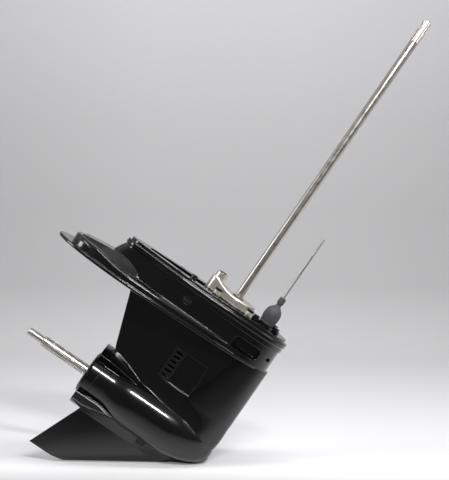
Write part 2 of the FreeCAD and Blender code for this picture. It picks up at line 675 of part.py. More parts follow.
def toothed(blank, cone, pitch_r, count, first):
    """Blank of a gear on the X axis at the apex, with its teeth."""
    tooth = bevel_tooth(cone, pitch_r)
    teeth = []
    for i in range(count):
        copy = tooth.copy()
        copy.rotate(Vector(0, 0, 0), Vector(1, 0, 0), first + i * 360.0 / count)
        teeth.append(copy)
    return blank.fuse(teeth)


def cone_corner(cone, distance):
    """(x, radius) of the root cone at a distance from the apex."""
    depth = DEDENDUM * distance / CONE_DISTANCE
    return (distance * math.cos(cone) + depth * math.sin(cone),
            distance * math.sin(cone) - depth * math.cos(cone))


def jaw_ring(tip_x, root_x, first):
    """Dog teeth: sectors of a ring from tip to root, one every quarter turn."""
    low, high = min(tip_x, root_x), max(tip_x, root_x)
    profile = [(low, JAW_INNER_R), (low, CLUTCH_R), (high, CLUTCH_R), (high, JAW_INNER_R)]
    jaw = turned_x(profile, PROP_Z, -JAW_ARC / 2, JAW_ARC)
    return [around_x(jaw, first + i * 360.0 / JAW_COUNT) for i in range(JAW_COUNT)]


def bevel_gear(bore_r, thrust_x, thrust_r, hub_end, first):
    """Gear facing aft, on the bow side; the other one is its mirror image with its own bore."""
    inner = cone_corner(GEAR_CONE, CONE_DISTANCE - FACE_WIDTH)
    outer = cone_corner(GEAR_CONE, CONE_DISTANCE)
    profile = [(JAW_FLOOR_X, bore_r), (JAW_FLOOR_X, inner[1] - 0.8), inner, outer, (outer[0] + 3.5, outer[1]),
               (GEAR_BACK_X, outer[1] - 5.5), (GEAR_BACK_X, BEARING_BORE_R), (hub_end, BEARING_BORE_R),
               (hub_end, thrust_r), (thrust_x, thrust_r), (thrust_x, bore_r)]
    gear = toothed(turned_x(profile, 0.0), GEAR_CONE, GEAR_PITCH_R, GEAR_TEETH, first)
    gear.translate(Vector(0, 0, PROP_Z))
    return gear.fuse(jaw_ring(GEAR_JAW_X, JAW_FLOOR_X + 0.5, JAW_OFFSET))


def forward_gear():
    """Gap over the pinion's tooth at rest."""
    half_pitch = 180.0 / GEAR_TEETH
    return bevel_gear(PROP_R + 0.4, THRUST_X + RUN_FIT, PROP_FRONT_R + RUN_FIT, PROP_FORE_X, half_pitch)


def reverse_gear():
    """Tooth in the pinion's gap at rest."""
    bore = PROP_R + RUN_FIT
    gear = bevel_gear(bore, GEAR_BACK_X, bore, GEAR_BACK_X + BALL_WIDTH + 1, 0.0)
    return gear.mirror(Vector(0, 0, 0), Vector(1, 0, 0))


def pinion_gear():
    """Drive pinion with the journal that runs in its needle bearing."""
    inner = cone_corner(PINION_CONE, CONE_DISTANCE - FACE_WIDTH)
    outer = cone_corner(PINION_CONE, CONE_DISTANCE)
    journal_r = PINION_BEARING_R - 4.0
    top = PINION_BEARING_TOP_Z - PROP_Z
    profile = [(PINION_FRONT, PINION_BORE_R), (PINION_FRONT, inner[1] - 0.4), inner, outer,
               (outer[0] + 2.0, outer[1]), (outer[0] + 2.0, journal_r), (top, journal_r), (top, PINION_BORE_R)]
    gear = toothed(turned_x(profile, 0.0), PINION_CONE, PINION_PITCH_R, PINION_TEETH, 180.0)
    gear.rotate(Vector(0, 0, 0), Vector(0, 1, 0), -90)
    gear.translate(Vector(0, 0, PROP_Z))
    return gear


def hexagon_z(corner_r, low, high, x=0.0, y=0.0):
    corners = [Vector(x + corner_r * math.cos(math.radians(60 * i)),
                      y + corner_r * math.sin(math.radians(60 * i)), low) for i in range(7)]
    return Part.Face(Part.makePolygon(corners)).extrude(Vector(0, 0, high - low))


def pinion_nut():
    low = PROP_Z + CLUTCH_R + 1.4
    return hexagon_z(8.0, low, PROP_Z + PINION_FRONT).cut(cylinder_z(PINION_THREAD_R, low - 1, PROP_Z + 40))


def drive_shaft():
    """Round bar with a splined top end and a stepped foot for pinion and nut."""
    foot = PROP_Z + CLUTCH_R + 1.8
    bar = turned_z([(0, foot), (PINION_THREAD_R, foot), (PINION_THREAD_R, PROP_Z + PINION_FRONT),
                    (PINION_BORE_R, PROP_Z + PINION_FRONT), (PINION_BORE_R, PINION_BEARING_TOP_Z),
                    (DRIVE_R, PINION_BEARING_TOP_Z), (DRIVE_R, DRIVE_TOP_Z - DRIVE_SPLINE - 2),
                    (DRIVE_SPLINE_R, DRIVE_TOP_Z - DRIVE_SPLINE), (DRIVE_SPLINE_R, DRIVE_TOP_Z - 2.5),
                    (DRIVE_SPLINE_R - 2.0, DRIVE_TOP_Z), (0, DRIVE_TOP_Z)])
    groove = box(DRIVE_SPLINE_R - 1.2, DRIVE_SPLINE_R + 2, -0.8, 0.8,
                 DRIVE_TOP_Z - DRIVE_SPLINE, DRIVE_TOP_Z + 1)
    grooves = [around_z(groove, i * 360.0 / DRIVE_SPLINE_TEETH) for i in range(DRIVE_SPLINE_TEETH)]
    return bar.cut(grooves + [key_block()])


def key_block():
    low = GASKET + WEAR_PLATE + 2.0
    return box(DRIVE_R - 1.2, DRIVE_R + 1.6, -1.2, 1.2, low, low + 5.0)


def prop_shaft():
    """Stepped shaft: thread, outer spline, journal, clutch spline, and a bored front end for the plunger."""
    groove_x = PROP_SPLINE_AFT_X - 3.0
    bar = turned_x([(PROP_END_X, 0), (PROP_END_X, PROP_THREAD_R - 1.2), (PROP_END_X + 1.5, PROP_THREAD_R),
                    (groove_x, PROP_THREAD_R), (groove_x, PROP_THREAD_R - 0.8),
                    (PROP_SPLINE_AFT_X - 1, PROP_THREAD_R - 0.8), (PROP_SPLINE_AFT_X, PROP_SPLINE_R - 1.5),
                    (PROP_SPLINE_AFT_X + 1.5, PROP_SPLINE_R), (BARREL_AFT_X - 1.0, PROP_SPLINE_R),
                    (BARREL_AFT_X - 1.0, PROP_R), (THRUST_X, PROP_R), (THRUST_X, PROP_FRONT_R),
                    (PROP_FORE_X, PROP_FRONT_R), (PROP_FORE_X, 0)])
    tooth_gap = box(PROP_SPLINE_AFT_X - 1, BARREL_AFT_X - 4, -0.95, 0.95,
                    PROP_Z + PROP_SPLINE_R - 1.6, PROP_Z + PROP_SPLINE_R + 2)
    gaps = [around_x(tooth_gap, i * 360.0 / PROP_SPLINE_TEETH) for i in range(PROP_SPLINE_TEETH)]
    reach = JAW_TIP_X + CLUTCH_TRAVEL
    keyway = box(-reach, reach, -KEY_HALF - 0.1, KEY_HALF + 0.1, PROP_Z + PROP_R - 1.0, PROP_Z + PROP_R + 2)
    keyways = [around_x(keyway, 22.5 + i * 360.0 / KEY_COUNT) for i in range(KEY_COUNT)]
    bore = cylinder_x(PLUNGER_R + 0.1, -PIN_R - CLUTCH_TRAVEL - 3, PROP_FORE_X + 1)
    slot_half = CLUTCH_TRAVEL + PIN_R + 0.2
    slot = box(-slot_half, slot_half, -20, 20, PROP_Z - PIN_R - 0.1, PROP_Z + PIN_R + 0.1)
    return bar.cut(gaps + keyways + [bore, slot])


def dog_clutch():
    """Sliding sleeve with jaws both ways, keys to the shaft, pin hole and groove for the spring ring."""
    sleeve = tube_x(CLUTCH_R, PROP_R + 0.1, -CLUTCH_CORE, CLUTCH_CORE)
    jaws = jaw_ring(JAW_TIP_X, CLUTCH_CORE - 0.5, 0) + jaw_ring(-JAW_TIP_X, -CLUTCH_CORE + 0.5, 0)
    key = box(-CLUTCH_CORE, CLUTCH_CORE, -KEY_HALF, KEY_HALF, PROP_Z + PROP_R - 0.9, PROP_Z + PROP_R + 1)
    keys = [around_x(key, 22.5 + i * 360.0 / KEY_COUNT) for i in range(KEY_COUNT)]
    ring_groove = tube_x(CLUTCH_R + 1, CLUTCH_R - RING_DEPTH, -RING_HALF, RING_HALF)
    hole = cylinder_y(PIN_R, -CLUTCH_R - 1, CLUTCH_R + 1, 0, PROP_Z)
    return sleeve.fuse(jaws + keys).cut([ring_groove, hole])


def shift_plunger():
    """Round-nosed rod in the propeller shaft's bore, crossed by the clutch pin."""
    centre = PLUNGER_TIP_X - PLUNGER_R
    rod = cylinder_x(PLUNGER_R, -PIN_R - 2.5, centre)
    nose = Part.makeSphere(PLUNGER_R, Vector(centre, 0, PROP_Z))
    return rod.fuse(nose).cut(cylinder_y(PIN_R, -10, 10, 0, PROP_Z))


def shift_cam():
    """Wedge on the shift rod's foot: its sloping face moves the plunger as the rod rises and falls."""
    normal = math.hypot(1, CAM_SLOPE)
    face = PLUNGER_TIP_X - PLUNGER_R + (PLUNGER_R + SEAT_GAP) * normal
    back = ROD_X + CAM_HUB_HALF + 1
    outline = [(face + CAM_SLOPE * CAM_LOW, CAM_LOW), (back, CAM_LOW), (back, CAM_TOP),
               (ROD_X - CAM_HUB_HALF + 1, CAM_TOP), (ROD_X - CAM_HUB_HALF + 1, CAM_FACE_TOP + 2),
               (face + CAM_SLOPE * CAM_FACE_TOP, CAM_FACE_TOP)]
    cam = prism_y([(x, PROP_Z + z) for x, z in outline], -CAM_HALF, CAM_HALF)
    return cam.cut(cylinder_z(ROD_R, PROP_Z + CAM_FACE_TOP + 2, PROP_Z + CAM_TOP + 1, ROD_X))


def shift_rod():
    """Thin upright rod with a threaded top end below its chamfer."""
    rod = cylinder_z(ROD_R, PROP_Z + CAM_FACE_TOP + 2, ROD_TOP_Z, ROD_X)
    groove_top = ROD_TOP_Z - ROD_THREAD
    groove = tube_z(ROD_R + 1, ROD_GROOVE_R, groove_top - ROD_GROOVE, groove_top, ROD_X)
    rod = rod.makeChamfer(0.6, [e for e in rod.Edges if e.BoundBox.ZMin > ROD_TOP_Z - 0.1])
    return rod.cut(groove)


def shift_boot():
    """Domed rubber boot with a neck and a collar round the rod."""
    outer = [(13.0, BOOT_BASE_Z), (13.2, 9.0), (12.8, 15.0), (11.6, 21.0), (9.6, 27.0), (7.0, 32.0),
             (4.6, 35.5), (3.7, 37.5), (4.2, 38.6), (5.25, 39.4), (5.25, 49.8), (4.4, 51.0)]
    inner = [(ROD_R + SEAT_GAP, 51.0), (ROD_R + SEAT_GAP, 34.0), (5.6, 31.0), (8.2, 26.0), (10.2, 20.5),
             (11.3, 14.5), (11.6, 9.0), (11.5, BOOT_BASE_Z)]
    return turned_z(outer + inner, ROD_X)


def forward_bearing():
    """Taper roller bearing: cone on the gear's hub, rollers, and cup in the housing."""
    aft, fore = GEAR_BACK_X, GEAR_BACK_X + TAPER_WIDTH
    slope = 0.1
    rise = slope * TAPER_WIDTH
    cone = turned_x([(aft, BEARING_BORE_R), (aft, 17.9), (fore, 17.9 + rise), (fore, BEARING_BORE_R)])
    cup = turned_x([(aft + 1, 23.5 + slope), (aft + 1, BEARING_R), (fore, BEARING_R), (fore, 23.5 + rise)])
    axis = Vector(1, 0, slope).normalize()
    roller = Part.makeCylinder(2.6, TAPER_WIDTH - 5, Vector(aft + 2.5, 0, PROP_Z + 20.65 + slope * 2.5), axis)
    rollers = [around_x(roller, i * 360.0 / ROLLER_COUNT) for i in range(ROLLER_COUNT)]
    return cone, cup, rollers


def reverse_bearing():
    """Ball bearing: inner ring on the gear's hub, balls, and outer ring in the carrier."""
    aft, fore = -GEAR_BACK_X - BALL_WIDTH, -GEAR_BACK_X
    inner = tube_x(18.0, BEARING_BORE_R, aft, fore)
    outer = tube_x(BEARING_R, 24.5, aft, fore)
    ball = Part.makeSphere(3.15, Vector((aft + fore) / 2, 0, PROP_Z + 21.25))
    balls = [around_x(ball, i * 360.0 / BALL_COUNT) for i in range(BALL_COUNT)]
    return inner, outer, balls


def bearing_carrier():
    """Cap and sleeve that close the gear case from aft and hold the reverse gear's bearing."""
    body_r = MAIN_BORE_R - SLIDE_FIT
    bearing_aft = -GEAR_BACK_X - BALL_WIDTH
    front = -GEAR_BACK_X + 1.0
    needle_aft = NEEDLE_FORE_X - NEEDLE_LENGTH
    seal_fore = BARREL_AFT_X + 2 + PROP_SEAL_LENGTH
    rim = [(BARREL_AFT_X + 2, PROP_SEAL_R), (BARREL_AFT_X + 2, PROP_SEAL_R + 2), (BARREL_AFT_X, PROP_SEAL_R + 3),
           (BARREL_AFT_X, BARREL_R - 5), (BARREL_AFT_X + 1.5, BARREL_R - 1.5), (BARREL_AFT_X + 5, BARREL_R),
           (CAP_SEAM_X - 0.4, BARREL_R), (CAP_SEAM_X - 0.4, body_r)]
    sleeve = [(O_RING_X - 1.6, body_r), (O_RING_X - 1.6, body_r - 2.2), (O_RING_X + 1.6, body_r - 2.2),
              (O_RING_X + 1.6, body_r), (front, body_r), (front, BEARING_R), (bearing_aft, BEARING_R),
              (bearing_aft, BEARING_R - 5)]
    bore = [(NEEDLE_FORE_X, PROP_R + 8), (NEEDLE_FORE_X, NEEDLE_R), (needle_aft, NEEDLE_R),
            (needle_aft, PROP_R + 1), (seal_fore, PROP_R + 1), (seal_fore, PROP_SEAL_R)]
    carrier = turned_x(rim + sleeve + bore)
    for side in (1, -1):
        z = PROP_Z + side * EAR_OFFSET
        ear = cylinder_x(EAR_R, CAP_SEAM_X - EAR_LENGTH, CAP_SEAM_X - 0.4, 0, z)
        web = box(CAP_SEAM_X - EAR_LENGTH, CAP_SEAM_X - 0.4, -EAR_R, EAR_R,
                  min(z, PROP_Z + side * (BARREL_R - 2)), max(z, PROP_Z + side * (BARREL_R - 2)))
        hole = cylinder_x(CARRIER_BOLT_R + 0.2, CAP_SEAM_X - EAR_LENGTH - 1, CAP_SEAM_X, 0, z)
        carrier = carrier.fuse([ear, web]).cut(hole)
    return carrier


def carrier_bolts():
    """Two hexagon bolts through the carrier's ears."""
    bolts = []
    for side in (1, -1):
        z = PROP_Z + side * EAR_OFFSET
        head_x = CAP_SEAM_X - EAR_LENGTH
        head = hexagon_z(5.2, 0, 4.5)
        head.rotate(Vector(0, 0, 0), Vector(0, 1, 0), -90)
        head.translate(Vector(head_x, 0, z))
        bolts.append(head.fuse(cylinder_x(CARRIER_BOLT_R, head_x, CAP_SEAM_X + CARRIER_BOLT_REACH - 1, 0, z)))
    return bolts


def pump_plan(low, high, grow=0.0):
    """Pear-shaped plan of the pump: round chamber and outlet neck under one tangent outline."""
    wide, slim = PUMP_R + grow, NECK_R + NECK_WALL + grow
    tilt = math.acos((wide - slim) / (PUMP_X - NECK_X))
    along, across = -math.cos(tilt), math.sin(tilt)
    sides = Part.Face(Part.makePolygon([
        Vector(x, side * r * across, low) for x, r, side in (
            (PUMP_X + wide * along, wide, 1), (NECK_X + slim * along, slim, 1),
            (NECK_X + slim * along, slim, -1), (PUMP_X + wide * along, wide, -1),
            (PUMP_X + wide * along, wide, 1))])).extrude(Vector(0, 0, high - low))
    return cylinder_z(wide, low, high, PUMP_X).fuse([sides, cylinder_z(slim, low, high, NECK_X)])


def pump_footprint(low, high, grow=0.0):
    """Plan of the pump with its four bolt ears."""
    ears = [cylinder_z(PUMP_EAR_R + grow, low, high, x, y) for x, y in PUMP_BOLT_PLACES]
    web = box(PUMP_BOLT_PLACES[0][0] - PUMP_WEB_HALF, PUMP_BOLT_PLACES[0][0] + PUMP_WEB_HALF,
              PUMP_BOLT_PLACES[0][1], PUMP_BOLT_PLACES[1][1], low, high)
    return pump_plan(low, high, grow).fuse(ears + [web])


def pump_holes(low, high):
    """Holes that the flat pump pieces share: shaft, inlet and bolts."""
    bolts = [cylinder_z(PUMP_BOLT_R + 0.2, low, high, x, y) for x, y in PUMP_BOLT_PLACES]
    return bolts + [cylinder_z(DRIVE_R + 1.5, low, high), cylinder_z(PUMP_INLET_R, low, high, PUMP_INLET_X)]


def pump_housing():
    """Cast pump body over the impeller cup, whose roof sweeps up to the outlet neck for the water tube."""
    low = GASKET + WEAR_PLATE
    roof = Part.BSplineCurve()
    roof.interpolate([Vector(x, -40, z) for x, z in ((NECK_X - 18, NECK_FOOT_Z + 1.0), (NECK_X, NECK_FOOT_Z),
                                                     (NECK_X + 13, PUMP_TOP_Z + 2.6), (NECK_X + 25, PUMP_TOP_Z),
                                                     (PUMP_X, PUMP_TOP_Z))])
    fore = PUMP_X + PUMP_R + 5
    rim = Part.makePolygon([Vector(x, -40, z) for x, z in (
        (PUMP_X, PUMP_TOP_Z), (fore, PUMP_TOP_Z), (fore, low), (NECK_X - 18, low),
        (NECK_X - 18, NECK_FOOT_Z + 1.0))])
    side_view = Part.Face(Part.Wire([roof.toShape()] + rim.Edges)).extrude(Vector(0, 80, 0))
    shell = pump_plan(low, NECK_FOOT_Z + 8).common(side_view)
    shell = shell.makeFillet(PUMP_ROUND, [e for e in shell.Edges if e.BoundBox.ZMin > PUMP_TOP_Z - 0.2])
    neck = cylinder_z(NECK_R, low, NECK_TOP_Z, NECK_X)
    body = pump_footprint(low, EAR_TOP_Z).fuse([shell, neck])
    cup_top = low + CUP_HEIGHT
    hollows = [cylinder_z(CUP_R, low - 1, cup_top), cylinder_z(PUMP_SEAL_R, low, PUMP_TOP_Z + 1),
               cylinder_z(GROMMET_R, NECK_TOP_Z - GROMMET_LENGTH, NECK_TOP_Z + 1, NECK_X),
               cylinder_z(TUBE_R, low + 3, NECK_TOP_Z, NECK_X),
               box(NECK_X, -CUP_R + 2, -4, 4, low + 3, low + 8)]
    hollows += [cylinder_z(PUMP_BOLT_R + 0.2, low - 1, PUMP_TOP_Z, x, y) for x, y in PUMP_BOLT_PLACES]
    heads = [cylinder_z(BOLT_HEAD_SPACE_R, EAR_TOP_Z, NECK_TOP_Z, x, y) for x, y in PUMP_BOLT_PLACES]
    return body.cut(heads).cut(hollows)


def pump_cup():
    low = GASKET + WEAR_PLATE
    outer = cylinder_z(CUP_R, low, low + CUP_HEIGHT)
    inner = cylinder_z(CUP_R - CUP_WALL, low - 1, low + CUP_HEIGHT - CUP_WALL)
    port = box(-CUP_R - 2, 0, -4, 4, low + 3, low + 8)
    return outer.cut([inner, cylinder_z(PUMP_SEAL_R, low, low + CUP_HEIGHT + 1), port])


def impeller():
    """Hub with leaning vanes, keyed to the drive shaft."""
    low = GASKET + WEAR_PLATE + 0.5
    high = GASKET + WEAR_PLATE + CUP_HEIGHT - CUP_WALL - 0.5
    hub = cylinder_z(IMPELLER_HUB_R, low, high)
    vane = box(IMPELLER_HUB_R - 2, IMPELLER_R - 1.6, -1.1, 1.1, low, high)
    vane = vane.fuse(cylinder_z(1.6, low, high, IMPELLER_R - 1.6))
    vanes = [around_z(vane, 30 + i * 360.0 / VANE_COUNT) for i in range(VANE_COUNT)]
    return hub.fuse(vanes).cut([cylinder_z(DRIVE_R, low - 1, high + 1), key_block()])


def bolts_z(places, shank_r, depth, seat_z, corner_r, head):
    """Upright hexagon bolts, heads on their seat, shanks down into the housing."""
    return [hexagon_z(corner_r, seat_z, seat_z + head, x, y).fuse(
        cylinder_z(shank_r, 1 - depth, seat_z, x, y)) for x, y in places]


def shift_rod_retainer():
    """Flat two-lobed plate under the boot, held by two bolts."""
    top = RETAINER_TOP_Z
    lobes = [cylinder_z(RETAINER_LOBE_R, 0, top, x) for x in RETAINER_BOLT_XS]
    arm = box(RETAINER_BOLT_XS[0], RETAINER_BOLT_XS[1], -RETAINER_LOBE_R, RETAINER_LOBE_R, 0, top)
    plate = cylinder_z(14.5, 0, top, ROD_X).fuse(lobes + [arm])
    return plate.cut([cylinder_z(ROD_R + 1.2, -1, top + 1, ROD_X)] +
                     [cylinder_z(RETAINER_BOLT_R + 0.2, -1, top + 1, x) for x in RETAINER_BOLT_XS])


def intake_screen():
    """Slotted starboard screen, seated in the ramp's step."""
    outer = -STRUT_HALF + 1.0
    plate = box(SCREEN_AFT_X, SCREEN_FORE_X, outer, outer + SCREEN_THICKNESS, SCREEN_BOTTOM_Z, SCREEN_TOP_Z)
    slots = [box(SLOT_AFT_X, SLOT_AFT_X + SLOT_LENGTH, outer - 1, outer + SCREEN_THICKNESS + 1,
                 SLOT_TOP_Z - SLOT_HEIGHT - i * SLOT_PITCH, SLOT_TOP_Z - i * SLOT_PITCH)
             for i in range(SLOT_COUNT)]
    return plate.cut(slots)


def plug(x, z, face_y):
    """Plug with a slotted round head, and its washer."""
    washer_y = face_y - 1.0
    washer = cylinder_y(PLUG_HEAD_R, washer_y, face_y, x, z)
    washer = washer.cut(cylinder_y(PLUG_R, washer_y - 1, face_y + 1, x, z))
    head = cylinder_y(PLUG_HEAD_R - 0.4, washer_y - PLUG_HEAD, washer_y, x, z)
    shank = cylinder_y(PLUG_R, washer_y, face_y + PLUG_LENGTH - 0.5, x, z)
    slot = box(x - PLUG_HEAD_R, x + PLUG_HEAD_R, washer_y - PLUG_HEAD - 1, washer_y - 0.8, z - 0.7, z + 0.7)
    return head.fuse(shank).cut(slot), washer


def dowel_pins():
    pins = [cylinder_z(DOWEL_R, -DOWEL_SEAT, DOWEL_STAND, x, y) for x, y in DOWEL_PLACES]
    return [pin.makeChamfer(0.8, [e for e in pin.Edges if e.BoundBox.ZMin > DOWEL_STAND - 0.1]) for pin in pins]


def write_all():
    """One file for each named piece."""
    save("gear_housing", gear_housing())
    screen = intake_screen()
    save("intake_screen_starboard", screen)
    save("intake_screen_port", screen.mirror(Vector(0, 0, 0), Vector(0, 1, 0)))
    for name, place in zip(("drain_plug", "level_plug"), PLUG_PLACES):
        body, washer = plug(*place)
        save(name, body)
        save(name + "_washer", washer)
    save("dowel_pins", *dowel_pins())

    save("bearing_carrier", bearing_carrier())
    save("carrier_bolts", *carrier_bolts())
    save("carrier_o_ring", Part.makeTorus(MAIN_BORE_R - SLIDE_FIT - 1.0, 1.1, Vector(O_RING_X, 0, PROP_Z),
                                          Vector(1, 0, 0)))
    save("prop_shaft_seals", *[tube_x(PROP_SEAL_R, PROP_R + RUN_FIT, x, x + PROP_SEAL_LENGTH / 2 - 0.5)
                               for x in (BARREL_AFT_X + 2.5, BARREL_AFT_X + 2.5 + PROP_SEAL_LENGTH / 2)])
    save("carrier_needle_bearing", tube_x(NEEDLE_R, PROP_R + RUN_FIT, NEEDLE_FORE_X - NEEDLE_LENGTH,
                                          NEEDLE_FORE_X))
    cone, cup, rollers = forward_bearing()
    save("forward_bearing_cone", cone)
    save("forward_bearing_cup", cup)
    save("forward_bearing_rollers", *rollers)
    shim_x = GEAR_BACK_X + TAPER_WIDTH
    save("forward_shim", tube_x(BEARING_R, BEARING_R - 4, shim_x, shim_x + SHIM))
    inner, outer, balls = reverse_bearing()
    save("reverse_bearing_inner_ring", inner)
    save("reverse_bearing_outer_ring", outer)
    save("reverse_bearing_balls", *balls)

    save("forward_gear", forward_gear())
    save("reverse_gear", reverse_gear())
    save("pinion_gear", pinion_gear())
    save("pinion_nut", pinion_nut())
    save("pinion_bearing", tube_z(PINION_BEARING_R, PINION_BEARING_R - 4.0 + RUN_FIT,
                                  PINION_BEARING_TOP_Z - PINION_BEARING_LENGTH, PINION_BEARING_TOP_Z))
    save("drive_shaft", drive_shaft())
    save("drive_shaft_bearing", tube_z(UPPER_BEARING_R, DRIVE_R + RUN_FIT, UPPER_BEARING_Z, -SEAL_LENGTH))
    save("drive_shaft_seal", tube_z(UPPER_BEARING_R, DRIVE_R + RUN_FIT, -SEAL_LENGTH, -1.0))

    save("prop_shaft", prop_shaft())
    save("dog_clutch", dog_clutch())
    save("clutch_pin", cylinder_y(PIN_R, -CLUTCH_R + RING_DEPTH + 0.4, CLUTCH_R - RING_DEPTH - 0.4, 0, PROP_Z))
    save("clutch_spring_ring", tube_x(CLUTCH_R - 0.05, CLUTCH_R - RING_DEPTH,
                                      -RING_HALF + 0.1, RING_HALF - 0.1))
    save("shift_plunger", shift_plunger())
    save("shift_cam", shift_cam())
    save("shift_rod", shift_rod())
    save("shift_rod_bushing", tube_z(ROD_BUSH_R, ROD_R + RUN_FIT, -ROD_BUSH_LENGTH, 0, ROD_X))
    save("shift_rod_retainer", shift_rod_retainer())
    save("retainer_bolts", *bolts_z([(x, 0.0) for x in RETAINER_BOLT_XS], RETAINER_BOLT_R,
                                    RETAINER_BOLT_DEPTH, RETAINER_TOP_Z, 4.8, 3.5))
    save("shift_boot", shift_boot())

    save("pump_gasket", pump_footprint(0, GASKET, -0.4).cut(pump_holes(-1, GASKET + 1)))
    save("pump_wear_plate", pump_footprint(GASKET, GASKET + WEAR_PLATE, 0.6).cut(pump_holes(0, 5)))
    save("pump_housing", pump_housing())
    save("pump_cup", pump_cup())
    save("pump_seal", tube_z(PUMP_SEAL_R, DRIVE_R + RUN_FIT, GASKET + WEAR_PLATE + CUP_HEIGHT - CUP_WALL,
                             PUMP_TOP_Z + 0.6))
    save("pump_bolts", *bolts_z(PUMP_BOLT_PLACES, PUMP_BOLT_R, PUMP_BOLT_DEPTH, EAR_TOP_Z, 5.6, 4.0))
    save("impeller", impeller())
    save("impeller_key", key_block())
    save("water_tube_grommet", tube_z(GROMMET_R, TUBE_R, NECK_TOP_Z - GROMMET_LENGTH, NECK_TOP_Z + 0.8, NECK_X))


os.makedirs("parts", exist_ok=True)
write_all()
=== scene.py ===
import json
import math

import bmesh
import bpy
from mathutils import Matrix, Vector


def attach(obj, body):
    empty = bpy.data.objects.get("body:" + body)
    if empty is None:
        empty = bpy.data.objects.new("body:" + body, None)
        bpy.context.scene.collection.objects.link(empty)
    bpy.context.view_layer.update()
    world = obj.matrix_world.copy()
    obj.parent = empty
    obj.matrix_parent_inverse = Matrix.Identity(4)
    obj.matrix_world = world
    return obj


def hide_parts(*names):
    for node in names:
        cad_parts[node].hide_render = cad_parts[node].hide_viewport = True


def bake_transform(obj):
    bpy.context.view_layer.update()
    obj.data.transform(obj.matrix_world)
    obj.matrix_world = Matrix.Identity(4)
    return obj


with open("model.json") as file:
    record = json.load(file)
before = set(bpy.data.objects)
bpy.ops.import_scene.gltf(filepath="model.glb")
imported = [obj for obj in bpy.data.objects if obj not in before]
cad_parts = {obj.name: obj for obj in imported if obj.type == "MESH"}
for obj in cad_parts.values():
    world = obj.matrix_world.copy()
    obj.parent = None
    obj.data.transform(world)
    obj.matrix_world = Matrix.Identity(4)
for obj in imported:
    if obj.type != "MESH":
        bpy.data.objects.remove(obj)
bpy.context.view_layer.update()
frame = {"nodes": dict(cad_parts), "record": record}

bl_info = {
    "name": "Outboard Lower Unit",
    "version": (1, 0, 0),
    "blender": (4, 5, 0),
    "location": "View3D > Sidebar > Lower Unit",
    "description": "Finishes, boot, threads and studio stage for an outboard lower unit",
    "category": "Object",
}

# The unit stands on its skeg, rolled in the picture plane by this much
ROLL = math.radians(34.3)
FLOOR_NORMAL = Vector((-math.sin(ROLL), 0.0, math.cos(ROLL)))
FLOOR_ALONG = Vector((math.cos(ROLL), 0.0, math.sin(ROLL)))
FLOOR_DEPTH = -0.2428

# Paper sweep: its near edge, the start and radius of its bend, the wall's top and half of its width
SWEEP_NEAR_Y = -0.62
SWEEP_BEND_Y = 0.95
SWEEP_BEND_R = 0.55
SWEEP_BEND_STEPS = 16
SWEEP_TOP = 2.6
SWEEP_HALF_WIDTH = 3.0

# Where the camera looks, and how high it stands
CAMERA_AIM = Vector((-0.066, 0.0, 0.073))
CAMERA_Z = 0.188

# Axes of the propeller shaft and the shift rod
PROP_Z = -0.2095
ROD_X = 0.057

# Places where the pieces of this scene sit on the solids
BOOT_FOOT_Z = 0.0043
NUT_THREAD = (-0.2325, -0.2105)
NUT_THREAD_R = 0.006
NUT_PITCH = 0.00175
ROD_THREAD = (0.1334, 0.1603)
ROD_THREAD_R = 0.00225
ROD_PITCH = 0.0008

# Hard pieces whose edges get a small true bevel, in metres
BEVELS = {"pump_bolts": 0.0006, "retainer_bolts": 0.0005, "carrier_bolts": 0.0005, "dowel_pins": 0.0003,
          "drain_plug": 0.0004, "level_plug": 0.0004, "shift_rod_retainer": 0.0005, "pump_wear_plate": 0.0003}


class StageSettings(bpy.types.PropertyGroup):
    floor_colour: bpy.props.FloatVectorProperty(
        name="Floor colour", description="Colour of the pale floor", subtype="COLOR",
        size=3, min=0.0, max=1.0, default=(0.83, 0.83, 0.845))
    bend_colour: bpy.props.FloatVectorProperty(
        name="Bend colour", description="Colour where the floor turns up into the wall", subtype="COLOR",
        size=3, min=0.0, max=1.0, default=(0.78, 0.78, 0.79))
    # Painted shade: the backdrop's middle is coloured darker than its top and its bend, as if less light fell
    # there
    wall_shade_colour: bpy.props.FloatVectorProperty(
        name="Wall colour", description="Colour of the backdrop at its middle", subtype="COLOR",
        size=3, min=0.0, max=1.0, default=(0.62, 0.62, 0.63))
    wall_top_colour: bpy.props.FloatVectorProperty(
        name="Wall top colour", description="Colour of the backdrop at its top", subtype="COLOR",
        size=3, min=0.0, max=1.0, default=(0.86, 0.855, 0.875))
    glow: bpy.props.FloatProperty(
        name="Backdrop lift",
        description="Share of the backdrop's colour that the camera sees apart from the lamps",
        default=0.18, min=0.0, max=1.0)
    lens: bpy.props.FloatProperty(
        name="Lens", description="Focal length of the camera in millimetres", default=82.5, min=20.0)
    distance: bpy.props.FloatProperty(
        name="Distance", description="Camera distance from the middle plane", unit="LENGTH",
        default=1.65, min=0.5)


class FinishSettings(bpy.types.PropertyGroup):
    enamel: bpy.props.FloatVectorProperty(
        name="Enamel", description="Colour of the housing's gloss enamel", subtype="COLOR",
        size=3, min=0.0, max=1.0, default=(0.0022, 0.0022, 0.0025))
    stainless: bpy.props.FloatVectorProperty(
        name="Stainless", description="Colour of the shafts", subtype="COLOR",
        size=3, min=0.0, max=1.0, default=(0.68, 0.655, 0.62))
    casting: bpy.props.FloatVectorProperty(
        name="Pump casting", description="Colour of the cast water pump", subtype="COLOR",
        size=3, min=0.0, max=1.0, default=(0.82, 0.77, 0.70))
    rubber: bpy.props.FloatVectorProperty(
        name="Boot rubber", description="Colour of the shift boot", subtype="COLOR",
        size=3, min=0.0, max=1.0, default=(0.064, 0.066, 0.071))


